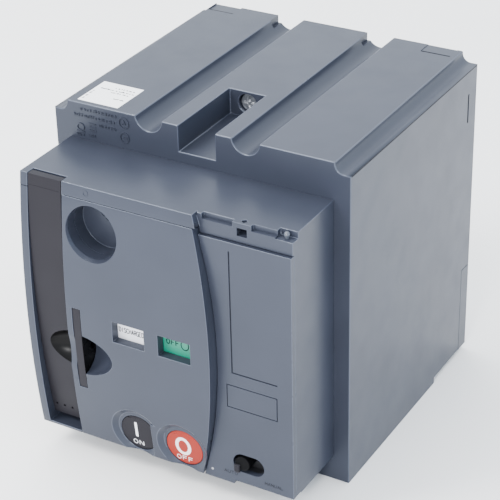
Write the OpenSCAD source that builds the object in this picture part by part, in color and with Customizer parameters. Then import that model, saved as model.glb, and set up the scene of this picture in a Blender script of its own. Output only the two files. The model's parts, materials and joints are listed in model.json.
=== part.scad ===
// Motor operating mechanism for a moulded-case circuit breaker.
// X is the width, -Y the front, +Z up; the origin is the middle of the footprint, on the underside.

/* [Rear housing] */
// Width of the rear housing, that of a three-pole breaker
body_w = 140; // [138:0.5:142]
// Height of the rear housing
body_h = 152; // [151:0.5:154]
// Depth of the rear housing
housing_d = 121.3; // [121:0.1:124]
// Wall of the large mouldings
wall = 2.5; // [2.2:0.1:2.6]

/* [Front block] */
// Width of the block that passes through the panel door
block_w = 125; // [124.6:0.1:126]
// Height of the block
block_h = 123.6; // [123.4:0.1:124]
// Height of the block's underside above the housing's underside
block_z0 = 11.9; // [11.7:0.1:12]
// Depth of the block's flat part ahead of the housing
block_d = 35; // [35:0.1:35.5]
// How far the curved cover stands ahead of the flat part
bulge = 5.7; // [5.5:0.1:5.9]

/* [Travels] */
// Swing of the charging lever in degrees
lever_swing = 50; // [30:1:50]
// Travel of each push-button
button_travel = 3; // [2:0.5:3]
// Travel of the padlocking tab
tab_travel = 14; // [10:1:14]

/* [Hidden] */
$fn = 96;

// Depth planes
total_d = housing_d + block_d + bulge;
back_y = total_d / 2;
face_y = back_y - housing_d;
panel_y = face_y - block_d;
nose_y = -total_d / 2;
gap = 0.25;
eps = 0.01;

// Front block and its curved face, an arc seen from the side
block_z1 = block_z0 + block_h;
block_mid_z = (block_z0 + block_z1) / 2;
face_sag = bulge - 1.4;
face_r = (pow(block_h / 2, 2) + face_sag * face_sag) / (2 * face_sag);
block_wall = 2.2;
rim_y = panel_y + 2.5;

// Grooves between the three ribs and along both shoulders of the housing
groove_r = 6.4;
groove_x = 22.9;
groove_z = body_h + 0.4;
shoulder_w = 7.1;
shoulder_d = 4.7;
shoulder_r = 4;
foot_step = 3;
foot_step_len = 34.5;
channel_w = 17.4;
channel_d = 11.8;
channel_len = 41.3;
low_channel_d = 14;
top_screw_z = body_h - 5.7;
low_screw_z = 9.5;

// Lever pocket and lever
lever_x0 = -58.8;
lever_x1 = -42;
sill_z = 13;
pocket_y = -60;
pocket_top_z = 131;
cap_y = -72.3;
lever_y = -68;
lever_z = 21;
lever_crown_z = 88;
lever_r = 409;
lever_crown_y = nose_y + 1.6;
pin_r = 2;

// Cover outline
cover_t = 2.5;
cover_top_z = 129.7;
cover_edge_r = 228;
cover_edge_x = 27.6;
cover_edge_z = 71;
strip_z = 126.9;
strip_y = panel_y + 1.5;

// Features of the cover
well_x = -27.6;
well_z = 115.9;
well_r = 12.7;
well_floor_y = -67;
cup_r = well_r + 0.6;
tab_x0 = -38.7;
tab_x1 = -35;
tab_z0 = 39.3;
tab_z1 = 78.8;
dimple_x = -37.5;
dimple_z = 56.5;
dimple_half = 17;
dimple_rise = 9.9;
dimple_d = 9.7;
dimple_fullness = 0.55;
dimple_steps = 28;
dimple_floor_y = nose_y + dimple_d + 1.4;
window_z0 = 68.1;
window_z1 = 77.9;
window_x = [-19, 3.2];
window_w = 15.4;
button_x = [-12.2, 10.6];
button_z = 21.4;
button_r = 8.8;
button_inset = 1.9;
dish_r = 12.5;
dish_z = 22.3;
dish_d = 1.9;
dish_slope = 1.3;
land_x = [-4.4, 1.5];
land_z = 29.8;
stem_r = 4;
guide_y = -64;

// Selector
slot_x0 = 38.5;
slot_x1 = 44.2;
slot_z = 22.5;
slot_r = 4.5;

// Side plates of the mechanism
plate_x = 33.5;
plate_t = 2.5;
plate_y0 = -52;
plate_y1 = back_y - 3;
plate_z0 = 16;
plate_z1 = 131;

// Gear train: lever sector, pawl carrier, charging shaft and motor
sector_teeth = 36;
carrier_teeth = 18;
lever_module = 2;
sector_dir = 52;
main_teeth = 48;
idler_pinion_teeth = 14;
main_module = 1.25;
idler_dir = -12;
idler_teeth = 50;
motor_teeth = 14;
motor_module = 1;
motor_dir = -47;
rack_teeth_on_pinion = 14;
rack_module = 1.75;
backlash = 0.86;

function arm(from, dir, len) = [from[0] + len * cos(dir), from[1] + len * sin(dir)];
function centre_distance(m, a, b) = m * (a + b) / 2;
lever_axis = [lever_y, lever_z];
shaft = arm(lever_axis, sector_dir, centre_distance(lever_module, sector_teeth, carrier_teeth));
idler = arm(shaft, idler_dir, centre_distance(main_module, main_teeth, idler_pinion_teeth));
motor = arm(idler, motor_dir, centre_distance(motor_module, idler_teeth, motor_teeth));
shaft_r = 5;
rack_pitch_y = shaft[0] + rack_module * rack_teeth_on_pinion / 2;

// Toggle carriage, on two upright rods
rod_x = 22;
rod_y = -2;
rod_r = 3;
boss_r = 6.5;
carriage_z0 = 84;
carriage_z1 = 100;
carriage_drop = 32.2;
spring_z0 = 21;

// Latches under the buttons
latch_y = -48;
latch_z = 40;

// Colours
slate = [0.44, 0.47, 0.52];
charcoal = [0.26, 0.26, 0.28];
steel = [0.72, 0.73, 0.75];
brass = [0.78, 0.65, 0.36];
black = [0.1, 0.1, 0.11];

// ---------- helpers ----------

// A flat shape drawn in (Y, Z), as thick as t from x0 upwards
module yz_plate(x0, t) translate([x0, 0, 0]) rotate([90, 0, 90]) linear_extrude(t) children();

// A flat shape drawn in (X, Z), as thick as t from y0 backwards
module xz_plate(y0, t) translate([0, y0 + t, 0]) rotate([90, 0, 0]) linear_extrude(t) children();

module box(x0, x1, y0, y1, z0, z1) translate([x0, y0, z0]) cube([x1 - x0, y1 - y0, z1 - z0]);

module rod_x(x0, x1, at, r) translate([x0, at[0], at[1]]) rotate([0, 90, 0]) cylinder(h = x1 - x0, r = r);

module rod_y(y0, y1, x, z, r) translate([x, y1, z]) rotate([90, 0, 0]) cylinder(h = y1 - y0, r = r);

module rod_z(z0, z1, x, y, r) translate([x, y, z0]) cylinder(h = z1 - z0, r = r);

module rect(x0, x1, z0, z1) translate([x0, z0]) square([x1 - x0, z1 - z0]);

// Everything behind the curved face, pushed back by inset, between two X values
module behind_face(x0, x1, inset) yz_plate(x0, x1 - x0) intersection() {
    translate([nose_y + face_r, block_mid_z]) circle(face_r - inset, $fn = 720);
    rect(nose_y - 1, face_y - 5, block_z0 - 5, block_z1);
}

// The cover's bowed right-hand edge as a disc in (X, Z), grown by extra
module edge_disc(extra) translate([cover_edge_x - cover_edge_r, cover_edge_z])
    circle(cover_edge_r + extra, $fn = 720);

module row(count, pitch) for (i = [0 : count - 1]) translate([0, 0, i * pitch]) children();

// ---------- gears ----------

deg = 180 / PI;
function involute(a) = tan(a) * deg - a;
function flank_angle(r, rb) = r > rb ? involute(acos(rb / r)) : 0;
function half_tooth(n, r, rp, rb) = 90 / n * backlash + involute(20) - flank_angle(r, rb);

// Involute spur gear with its first tooth at angle 0
module gear_outline(m, n) {
    rp = m * n / 2;
    rb = rp * cos(20);
    radii = [rp - 1.1 * m, rp - 0.45 * m, rp, rp + 0.4 * m, rp + 0.8 * m];
    last = len(radii) - 1;
    polygon([
        for (i = [0 : n - 1])
            let (mid = i * 360 / n)
            for (k = [0 : 2 * last + 1])
                let (r = radii[k <= last ? k : 2 * last + 1 - k], a = half_tooth(n, r, rp, rb))
                r * [cos(mid + (k <= last ? -a : a)), sin(mid + (k <= last ? -a : a))]
    ]);
}

module gear(m, n, x0, t, at, first) yz_plate(x0, t) translate(at) rotate(first) gear_outline(m, n);

// Rotation that puts a gap of the driven gear where the driver has a tooth
function facing(dir, n) = dir + 180 + 180 / n;

// ---------- springs ----------

spring_sides = 6;
spring_steps = 10;

// Round-wire compression spring along +Z
module coil(r, wire_r, length, turns) {
    rings = turns * spring_steps;
    points = [
        for (i = [0 : rings])
            let (a = i * 360 / spring_steps, z = wire_r + (length - 2 * wire_r) * i / rings)
            for (j = [0 : spring_sides - 1])
                let (b = j * 360 / spring_sides, d = r + wire_r * cos(b))
                [d * cos(a), d * sin(a), z + wire_r * sin(b)]
    ];
    sides = [
        for (i = [0 : rings - 1])
            for (j = [0 : spring_sides - 1])
                let (k = (j + 1) % spring_sides, p = i * spring_sides, q = p + spring_sides)
                each [[p + j, q + j, q + k], [p + j, q + k, p + k]]
    ];
    caps = [
        [for (j = [0 : spring_sides - 1]) j],
        [for (j = [0 : spring_sides - 1]) rings * spring_sides + spring_sides - 1 - j]
    ];
    polyhedron(points, concat(sides, caps));
}

// ---------- casings and covers ----------

module housing_outline() difference() {
    rect(-body_w / 2, body_w / 2, 0, body_h);
    for (s = [-1, 1]) {
        translate([s * groove_x, groove_z]) circle(groove_r);
        shoulder_cut(s);
    }
}

// Rebate along one shoulder, with a rounded inner corner
module shoulder_cut(s) scale([s, 1]) translate([body_w / 2 - shoulder_w, body_h - shoulder_d]) {
    translate([shoulder_r, shoulder_r]) circle(shoulder_r);
    translate([shoulder_r, 0]) square([shoulder_w, shoulder_d + 1]);
    translate([0, shoulder_r]) square([shoulder_w + 1, shoulder_d - shoulder_r + 1]);
}

module housing_hollow(floor_z, play) difference() {
    union() {
        rect(-body_w / 2 + wall + play, body_w / 2 - wall - play, floor_z + play,
            body_h - shoulder_d - wall - play);
        rect(-body_w / 2 + shoulder_w + wall + play, body_w / 2 - shoulder_w - wall - play,
            floor_z + play, body_h - wall - play);
    }
    for (s = [-1, 1]) translate([s * groove_x, groove_z]) circle(groove_r + wall + play);
}

// Screw channel in the top or the underside, and the walls around it
module channel(z0, z1, extra) box(-channel_w / 2 - extra, channel_w / 2 + extra,
    face_y - 1 + extra * 0.4, face_y + channel_len + extra, z0, z1);

snap_slots = [[-1, 49, 62.8, 0.6], [1, 46.2, 60.3, 0.2]];

module rear_housing() color(slate) difference() {
    union() {
        difference() {
            xz_plate(face_y, housing_d) housing_outline();
            xz_plate(face_y + wall, housing_d - foot_step_len - wall) housing_hollow(wall, 0);
            xz_plate(back_y - foot_step_len - eps, foot_step_len + 1)
                housing_hollow(foot_step + wall, 0);
        }
        channel(body_h - channel_d - wall, body_h - wall / 2, wall);
        channel(wall / 2, low_channel_d + wall, wall);
        // bosses that the long screws bear on
        box(-7, 7, face_y + channel_len + wall - eps, face_y + 50, top_screw_z - 7, top_screw_z + 3.6);
        box(-7, 7, face_y + channel_len + wall - eps, face_y + 50, low_screw_z - 7.5, low_screw_z + 7);
        for (z = [62, 131]) box(57.8, body_w / 2 - 1, -20, 55, z, z + 2);
    }
    channel(body_h - channel_d, body_h + 1, 0);
    channel(-1, low_channel_d, 0);
    box(-body_w, body_w, back_y - foot_step_len, back_y + 1, -1, foot_step);
    for (z = [top_screw_z, low_screw_z]) {
        rod_y(face_y + 40, face_y + 46, 0, z, 4.4);
        rod_y(face_y + 40, face_y + 51, 0, z, plate_screw_r + 0.3);
    }
    // way through to the front block
    box(lever_x0, block_w / 2 - block_wall, face_y - 1, face_y + wall + 1, block_z0 + block_wall,
        block_z1 - block_wall);
    // slots of the snap catches, along the rear edge, and the lowered tongues behind them
    for (s = snap_slots) {
        box(min(s[0] * s[1], s[0] * s[2]), max(s[0] * s[1], s[0] * s[2]),
            back_y - 7.9, back_y - 7.1, body_h - wall - 1, body_h + 1);
        box(min(s[0] * s[1], s[0] * s[2]), max(s[0] * s[1], s[0] * s[2]),
            back_y - 7.5, back_y + 1, body_h - s[3], body_h + 1);
    }
    for (s = [-1, 1]) {
        box(s * (body_w / 2 - 2) - 2, s * (body_w / 2 - 2) + 2, back_y - 8.5, back_y - 7.7, 122.3, 136.2);
        // outline of the side catch
        box(s * body_w / 2 - 0.5, s * body_w / 2 + 0.5, back_y - 8, back_y - 7.7, -1, 46.6);
        box(s * body_w / 2 - 0.5, s * body_w / 2 + 0.5, back_y - 8, back_y + 1, 46.3, 46.7);
        // squared ends of the grooves
        box(s * groove_x - groove_r - 0.3, s * groove_x, back_y - 7.4, back_y + 1, body_h - 3.6, body_h + 1);
    }
}

fixing_x = 52;
fixing_z = [22, 126];
fixing_r = 3.3;
plate_screw_r = 2.5;

module rear_plate() color(charcoal) difference() {
    xz_plate(back_y - 3, 3) housing_hollow(foot_step + wall, 0.15);
    box(-24, 24, back_y - 4, back_y + 1, 38, 114);
    box(39, 63, back_y - 4, back_y + 1, 99, 111);
    for (x = [-fixing_x, fixing_x], z = fixing_z) rod_y(back_y - 4, back_y + 1, x, z, fixing_r);
    for (z = [top_screw_z, low_screw_z]) rod_y(back_y - 4, back_y + 1, 0, z, plate_screw_r);
}

module lever_pocket() {
    box(lever_x0, lever_x1, nose_y - 1, pocket_y, sill_z, pocket_top_z);
    box(lever_x0, lever_x1, nose_y - 1, cap_y, pocket_top_z - 1, block_z1 + 1);
}

// Shallow bays in the top front edge of the right-hand strip
module strip_bays() {
    box(22.2, 35.9, strip_y - 1, cap_y + 0.4, 133.2, block_z1 + 1);
    box(44.4, 56, strip_y - 1, cap_y + 0.4, 133.2, block_z1 + 1);
    box(54.9, block_w / 2 + 1, strip_y - 1, -69.4, 132.6, block_z1 + 1);
    box(37.9, 42.4, strip_y - 1, -60, 129.7, 133.2);
    translate([40.2, -71.4, block_z1 - 1]) rotate([0, 0, 45]) cube([1.9, 1.9, 6], center = true);
}

module front_housing() color(slate) difference() {
    union() {
        box(-block_w / 2, block_w / 2, rim_y, face_y, block_z0, block_z1);
        // curved frame beside and under the lever, and the strip above the cover
        behind_face(-block_w / 2, lever_x1 + 1, 0);
        intersection() {
            behind_face(lever_x1, cover_edge_x, 0);
            xz_plate(nose_y - 1, 20) intersection() {
                rect(-60, 60, cover_top_z + gap, block_z1);
                edge_disc(1.2);
            }
        }
        box(20, block_w / 2, strip_y, rim_y + 3, strip_z, block_z1);
    }
    // inside, left open towards the rear housing
    box(lever_x1 + 2, block_w / 2 - block_wall, rim_y - 1, face_y + 1, block_z0 + block_wall,
        strip_z - 2);
    box(lever_x1 + 2, block_w / 2 - block_wall, rim_y + 5, face_y + 1, strip_z - 3,
        block_z1 - block_wall);
    box(lever_x0, lever_x1 + 3, pocket_y + 2, face_y + 1, block_z0 + block_wall, block_z1 - block_wall);
    box(lever_x1 + 2, 70, nose_y - 1, rim_y + eps, block_z0 - 6, strip_z - 0.3);
    box(lever_x1, 21, nose_y - 1, rim_y + eps, block_z0 - 6, cover_top_z);
    box(-70, 70, nose_y - 1, face_y, 0, block_z0);
    lever_pocket();
    strip_bays();
    // slot for the lever's toothed sector
    box(-54, -46, pocket_y - 1, pocket_y + 3, block_z0 + block_wall, 66);
    rod_x(-block_w / 2 + 1, lever_x1 + 3, lever_axis, pin_r);
    for (x = button_x) rod_y(rim_y - 1, rim_y + 5, x, button_z, button_r + gap);
    // parting line across the frame beside the lever
    box(-block_w / 2 - 1, lever_x0 + eps, nose_y - 1, rim_y, 129.4, 129.7);
    // seat of the keylock cup
    rod_y(rim_y - 1, well_floor_y + 2 + gap, well_x, well_z, cup_r + 0.1);
    // underside notches
    box(34.2, block_w / 2 + 1, rim_y - 3, rim_y + 4, block_z0 - 1, block_z0 + 0.6);
}

// Closed bay in which the padlocking tab slides
module tab_bay() color(slate) difference() {
    box(lever_x1 + 1, tab_x1 + 10, rim_y, pocket_y + 3.5, tab_z0 - 3.5, tab_z1 + 3.5);
    box(lever_x1 + 2, tab_x1 + 8.5, rim_y - 1, pocket_y + 2, tab_z0 - 2, tab_z1 + 2);
}

module button_guide() color(slate) difference() {
    box(lever_x1 + 2 - eps, 30, guide_y, guide_y + 2, block_z0 + block_wall - eps, 38);
    for (x = button_x) rod_y(guide_y - 1, guide_y + 3, x, button_z, stem_r + 0.1);
}

module front_block() {
    front_housing();
    button_guide();
    tab_bay();
}

// Outline of the curved cover, from the lever to its bowed edge
module cover_outline(inset) intersection() {
    rect(lever_x1 + gap + inset, 60, block_z0 + inset, cover_top_z - inset);
    edge_disc(-inset);
}

module cover_shell() {
    difference() {
        intersection() {
            behind_face(-50, 40, 0);
            xz_plate(nose_y - 1, rim_y - nose_y + 1) cover_outline(0);
        }
        difference() {
            intersection() {
                behind_face(-50, 40, cover_t);
                xz_plate(nose_y - 1, rim_y - nose_y + 2) cover_outline(2);
            }
        }
    }
}

// Egg-shaped body that presses the finger dimple into the lever and the cover
module dimple() {
    core = (dimple_rise * dimple_rise - dimple_d * dimple_d) / (2 * dimple_d);
    function swell(t) = core + dimple_d * pow(1 - t * t, dimple_fullness);
    translate([dimple_x, nose_y - core, dimple_z]) rotate([0, 90, 0]) rotate_extrude() polygon([
        [0, -dimple_half],
        for (i = [0 : dimple_steps]) let(t = -cos(180 * i / dimple_steps)) [swell(t), t * dimple_half],
        [0, dimple_half]
    ]);
}

// Spot on the curved face at height z, and the lean of the face there
function front_y(z) = nose_y + face_r - sqrt(face_r * face_r - pow(z - block_mid_z, 2));
function lean(z) = asin((block_mid_z - z) / face_r);

// Dish in the face round one button; the left one stops at the land between the two
module button_dish(x) difference() {
    translate([x, front_y(dish_z), dish_z]) rotate([90 + lean(dish_z), 0, 0]) translate([0, 0, -dish_d])
        cylinder(h = dish_d + 2, r1 = dish_r - dish_d * dish_slope, r2 = dish_r + 2 * dish_slope);
    if (x < land_x[0]) box(land_x[0], land_x[1], nose_y - 5, rim_y, 0, land_z);
}

// Hole or body of a button, cut flat beside the land
module button_round(x, y0, y1, r, play) intersection() {
    rod_y(y0, y1, x, button_z, r + play);
    if (x < land_x[0]) box(x - 20, land_x[0] - gap + play, y0, y1, 0, 60);
}

// Frame behind a window that reaches back to the flags
module window_tunnel(x) intersection() {
    box(x - 1.2, x + window_w + 1.2, nose_y, flag_y - 0.3, window_z0 - 1.2, window_z1 + 1.2);
    behind_face(-50, 40, 0.5);
}

module front_cover() color(slate) difference() {
    union() {
        cover_shell();
        // sleeves of the buttons and of the well
        for (x = button_x) intersection() {
            rod_y(nose_y, rim_y, x, button_z, button_r + 2);
            behind_face(-50, 40, 0.5);
            xz_plate(nose_y, 20) cover_outline(0.5);
        }
        intersection() {
            rod_y(nose_y, rim_y, well_x, well_z, well_r + 1.6);
            behind_face(-50, 40, 0.5);
            xz_plate(nose_y, 20) cover_outline(0.5);
        }
        // bowl beside the tab
        intersection() {
            union() {
                box(tab_x1 + gap, -22.1, nose_y, rim_y, 45, 68);
                box(tab_x1 + gap, -19.5, nose_y, flag_y - 0.35, 45, 68);
            }
            behind_face(-50, 40, 0.5);
        }
        box(tab_x1 + gap, -26.9, rim_y - 1, dimple_floor_y, 45.4, 67.6);
        for (x = window_x) window_tunnel(x);
    }
    for (x = button_x) {
        button_round(x, nose_y - 1, rim_y + 1, button_r, gap);
        button_dish(x);
    }
    intersection() {
        dimple();
        box(tab_x1, 0, nose_y - 1, 0, 40, 75);
    }
    // shallow dip in the strip between the lever and the tab
    rod_x(lever_x1, tab_x0, [nose_y - 34.1, dimple_z], 35.4);
    box(tab_x0 - gap, tab_x1 + gap, nose_y - 1, 0, tab_z0 - gap, tab_z1 + gap);
    for (x = window_x) box(x, x + window_w, nose_y - 1, 0, window_z0, window_z1);
    rod_y(nose_y - 1, rim_y + 1, well_x, well_z, well_r - 0.7);
    translate([well_x, nose_y + 4.2, well_z]) rotate([90, 0, 0])
        cylinder(h = 6, r1 = well_r - 1.2, r2 = well_r + 1.2);
}

module panel_outline(inset) difference() {
    rect(15, block_w / 2 - inset, block_z0 - 1.2, strip_z - 0.3);
    edge_disc(gap);
    rect(34.2, block_w, 0, block_z0 + 0.6);
}

module engraved_lines() {
    rect(34.5, 35.1, 66.4, 122.6);
    rect(34.5, 55.6, 66.1, 66.7);
    difference() {
        rect(31.9, 55.5, 49.1, 60.3);
        rect(32.3, 55.1, 49.5, 59.9);
    }
}

module selector_slot(r) {
    for (x = [slot_x0, slot_x1]) translate([x, slot_z]) circle(r);
    rect(slot_x0, slot_x1, slot_z - r, slot_z + r);
}

module accessory_cover() color(slate) difference() {
    xz_plate(panel_y, rim_y - panel_y) panel_outline(0);
    xz_plate(panel_y - 1, 1.4) engraved_lines();
    xz_plate(panel_y - 1, 6) selector_slot(slot_r);
}

module keylock_blank() color(slate) difference() {
    rod_y(rim_y + eps, well_floor_y + 2, well_x, well_z, cup_r);
    rod_y(rim_y - 1, well_floor_y, well_x, well_z, well_r - 0.7);
}

module rating_label() color("white") box(-59.5, -39.4, face_y + 2.4, face_y + 22.6, body_h, body_h + 0.05);

module seal_stud() color(steel) {
    rod_z(132.6, 134.2, 58.6, -71.2, 0.8);
    translate([58.6, -71.2, 134.4]) sphere(1.2);
}

// ---------- fixed frame of the mechanism ----------

spacer_at = [[-44, 24], [-44, 122], [60, 24], [60, 122]];
spacer_r = 4;

module side_plate(x0) color(steel) difference() {
    yz_plate(x0, plate_t) polygon([
        [plate_y0, plate_z0], [plate_y1, plate_z0], [plate_y1, plate_z1], [plate_y0, plate_z1]
    ]);
    rod_x(x0 - 1, x0 + 9, shaft, 7);
    rod_x(x0 - 1, x0 + 9, [latch_y, latch_z], 2.5);
    for (p = spacer_at) rod_x(x0 - 1, x0 + 9, p, 2);
    yz_plate(x0 - 1, 9) rect(12, 66, 62, 108);
}

stop_pin = arm(shaft, -48, 27);

module side_plate_left() difference() {
    side_plate(-plate_x - plate_t);
    rod_x(-50, -20, stop_pin, 2);
}

module side_plate_right() difference() {
    side_plate(plate_x);
    rod_x(20, 50, idler, 3);
    rod_x(20, 50, motor, 4);
    for (s = [-1, 1]) rod_x(20, 50, [motor[0], motor[1] + s * 10], 1.5);
}

module frame_spacers() color(steel) for (p = spacer_at) difference() {
    rod_x(-plate_x, plate_x, p, spacer_r);
    for (s = [-1, 1]) rod_x(s * (plate_x - 5) - 6, s * (plate_x - 5) + 6, p, 2);
}

module frame_screws() color(steel) for (p = spacer_at, s = [-1, 1])
    scale([s, 1, 1]) {
        rod_x(plate_x - 10, plate_x + plate_t, p, 2);
        rod_x(plate_x + plate_t, plate_x + plate_t + 2.6, p, 3.5);
    }

module housing_screws() color(steel) for (z = [top_screw_z, low_screw_z]) difference() {
    union() {
        rod_y(face_y + 43, face_y + 46, 0, z, 3.9);
        rod_y(face_y + 45, back_y - 0.5, 0, z, plate_screw_r);
    }
    box(-2.8, 2.8, face_y + 42, face_y + 44.6, z - 0.5, z + 0.5);
    box(-0.5, 0.5, face_y + 42, face_y + 44.6, z - 2.8, z + 2.8);
}

module guide_rods() color(steel) for (s = [-1, 1]) rod_z(17.5, 129.5, s * rod_x, rod_y, rod_r);

module rod_bracket(z0) color(steel) difference() {
    box(-plate_x, plate_x, rod_y - 8, rod_y + 8, z0, z0 + 3);
    for (s = [-1, 1]) rod_z(z0 - 1, z0 + 4, s * rod_x, rod_y, rod_r);
    // room for the rack to pass
    box(-9, 9, rod_y - 9, rod_y - 3 + gap, z0 - 1, z0 + 4);
}

module rod_bracket_bottom() rod_bracket(17.5);
module rod_bracket_top() rod_bracket(126.5);

motor_r = 15;

module motor_body() color(charcoal) {
    rod_x(-29, 14, motor, motor_r);
    rod_x(-31, -29, motor, 6);
    for (s = [-1, 1]) box(-31.5, -29, motor[0] + s * 9 - 0.4, motor[0] + s * 9 + 0.4,
        motor[1] - 2.5, motor[1] + 2.5);
}

module motor_gearhead() color(steel) difference() {
    rod_x(14, plate_x, motor, motor_r);
    rod_x(24, plate_x + 1, motor, 3.06);
    for (s = [-1, 1]) rod_x(plate_x - 7, plate_x + 1, [motor[0], motor[1] + s * 10], 1.5);
}

module motor_screws() color(steel) for (s = [-1, 1]) {
    rod_x(plate_x - 6, plate_x + plate_t, [motor[0], motor[1] + s * 10], 1.5);
    rod_x(plate_x + plate_t, plate_x + plate_t + 1.6, [motor[0], motor[1] + s * 10], 2.6);
}

module intermediate_axle() color(steel) {
    rod_x(plate_x, 53.5, idler, 3);
    rod_x(53.5, 54.5, idler, 4.2);
    rod_x(plate_x - 1.2, plate_x, idler, 5);
}

module shaft_bushings() color(brass) for (s = [-1, 1]) scale([s, 1, 1]) difference() {
    union() {
        rod_x(plate_x - 3, plate_x + plate_t, shaft, 7);
        rod_x(plate_x + plate_t, plate_x + plate_t + 1, shaft, 9);
    }
    rod_x(plate_x - 4, plate_x + plate_t + 2, shaft, shaft_r + 0.06);
}

module lever_pin() color(steel) rod_x(-block_w / 2 + 1, lever_x1 + 1.5, lever_axis, pin_r);

module latch_axle() color(steel) rod_x(-plate_x - 3.5, plate_x + 3.5, [latch_y, latch_z], 2.5);

// Torsion spring on the charging shaft that brings the pawl carrier and the lever back
module lever_return_spring() color(steel) translate([-41.2, shaft[0], shaft[1]]) rotate([0, 90, 0])
    coil(8, 0.5, 3.9, 2);

module stop_pawl_pin() color(steel) {
    rod_x(-47, -plate_x, stop_pin, 2);
    rod_x(-47.8, -47, stop_pin, 3.2);
}

module limit_switches() color(black) for (y = [13, 34.5]) {
    box(-plate_x, -27, y, y + 20, 110, 120);
    box(-31.5, -29, y + 4, y + 7, 108.6, 110);
}

module circuit_board() color([0.1, 0.35, 0.22]) {
    box(56, 57.6, -18, 54, 56, 134);
    color(black) box(53.4, 56, 0, 14, 100, 122);
    color(black) for (z = [66, 78]) box(53.8, 56, 30, 44, z, z + 8);
}

terminal_pitch = 7.6;
terminal_x = [for (i = [0 : 2]) 43.2 + i * terminal_pitch];

module terminal_block() color([0.2, 0.42, 0.3]) difference() {
    box(39.4, 62.4, 61, back_y - 3, 95, 114);
    for (x = terminal_x) {
        box(x - 2.4, x + 2.4, 64, back_y, 100.2, 104.8);
        rod_z(108, 115, x, 70, 2.6);
        rod_z(104.7, 109, x, 70, 1.5);
    }
}

module terminal_screws() color(steel) for (x = terminal_x) difference() {
    union() {
        rod_z(105, 109, x, 70, 1.5);
        rod_z(108, 111, x, 70, 2.5);
    }
    box(x - 3, x + 3, 69.6, 70.4, 110, 112);
}

// Guide behind the two indicator windows
flag_y = -76.4;
flag_t = 1.4;
flag_h = 22;
flag_w = 18;
flag_travel = 11;

module flag_frame() color(charcoal) {
    box(-21.6, 21.2, flag_y + flag_t + gap, rim_y - 0.2, 52, 96);
    for (x = [-21.6, -0.7, 20.3]) box(x, x + 0.9, flag_y + 0.3, flag_y + flag_t + 1, 52, 96);
}

module selector_tray() color(black) difference() {
    box(31.5, 51.2, rim_y, rim_y + 5, 15.5, 29.5);
    xz_plate(rim_y - 1, 4.4) selector_slot(slot_r + 0.3);
    xz_plate(rim_y, 6) selector_slot(1.4);
}

module selector_switch() color(black) {
    box(33, 50, rim_y + 6.3, -61, 17, 28);
    box(33, 36, rim_y + 5, rim_y + 6.4, 17, 19);
    box(47, 50, rim_y + 5, rim_y + 6.4, 17, 19);
}

// ---------- charging lever ----------

module lever_profile(inset) intersection() {
    translate([lever_crown_y + lever_r, lever_crown_z]) circle(lever_r - inset, $fn = 720);
    rect(nose_y, -60, 16.2, block_z1 - 0.2);
}

module charging_lever() color(charcoal) difference() {
    union() {
        yz_plate(lever_x0 + 0.3, lever_x1 - lever_x0 - 0.6) difference() {
            lever_profile(0);
            lever_profile(3.2);
            rect(cap_y - gap, 0, 126, 140);
        }
        // stiffening ribs and the hub
        for (x = [lever_x0 + 0.3, lever_x1 - 2.1]) yz_plate(x, 1.8) intersection() {
            lever_profile(1);
            rect(nose_y, cap_y + 4, 20, 126);
        }
        rod_x(lever_x0 + 0.3, lever_x1 - 0.3, lever_axis, 5);
        intersection() {
            box(dimple_x - 17, lever_x1 - 0.3, nose_y, dimple_floor_y, 44, 69);
            yz_plate(lever_x0 + 0.3, 20) lever_profile(0);
        }
    }
    dimple();
    rod_x(-70, -30, lever_axis, pin_r + 0.05);
    for (x = [-56.5, -52.4, -48.3]) rod_y(nose_y, -72, x, 21.2, 0.6);
    // hollow that takes the sector
    box(-53.2, -46.8, -71, -50, 10, 40);
    // groove across the top
    box(-70, -30, -79, -77.1, 130.4, 130.8);
}

sector_from = sector_dir - lever_swing - 11;
sector_to = sector_dir + 11;

module lever_sector() color(steel) difference() {
    yz_plate(-53, 6) difference() {
        union() {
            intersection() {
                translate(lever_axis) rotate(sector_dir) gear_outline(lever_module, sector_teeth);
                translate(lever_axis) polygon([
                    [0, 0], 60 * [cos(sector_from), sin(sector_from)],
                    60 * [cos(sector_dir - 20), sin(sector_dir - 20)],
                    60 * [cos(sector_to), sin(sector_to)]
                ]);
            }
            intersection() {
                translate(lever_axis) rect(-3, 6, 0, 17);
                rect(-71, -50, 0, 60);
            }
            translate(lever_axis) circle(2.95);
        }
        translate(lever_axis) circle(pin_r + 0.05);
        translate(lever_axis) for (d = [12, 36]) translate(arm([0, 0], d, 22)) circle(4);
    }
    rod_x(-60, -40, [lever_y + 1.5, lever_z + 12], 1.2);
}

module lever_rivets() color(steel) rod_x(-53, -47, [lever_y + 1.5, lever_z + 12], 1.2);

module pawl_carrier() color(steel) difference() {
    union() {
        gear(lever_module, carrier_teeth, -53, 6, shaft, facing(sector_dir, carrier_teeth));
        rod_x(-47, -46, shaft, 9);
        yz_plate(-53, 6) translate(shaft) rotate(150) translate([12, -4]) square([12.2, 8]);
        yz_plate(-47, 5.6) translate(arm(shaft, 150, 22)) circle(2);
    }
    rod_x(-60, -40, shaft, shaft_r + 0.06);
}

ratchet_teeth = 20;
ratchet_r = 16;

// Saw-tooth wheel that steps towards lower angles
module ratchet_wheel() color(steel) difference() {
    yz_plate(-45.6, 4) translate(shaft) difference() {
        polygon([
            for (i = [0 : ratchet_teeth - 1])
                let (a = i * 360 / ratchet_teeth)
                for (p = [[a, ratchet_r], [a + 14, ratchet_r - 2.6]]) p[1] * [cos(p[0]), sin(p[0])]
        ]);
    }
    rod_x(-60, -30, shaft, shaft_r);
}

module drive_pawl() color(steel) difference() {
    yz_plate(-45.4, 3.6) translate(shaft) rotate(150) polygon([
        [16.6, -9], [24.6, -1.5], [24.6, 2.6], [19, 3.2], [18, -1.5]
    ]);
    yz_plate(-60, 30) translate(arm(shaft, 150, 22)) circle(2);
}

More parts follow.
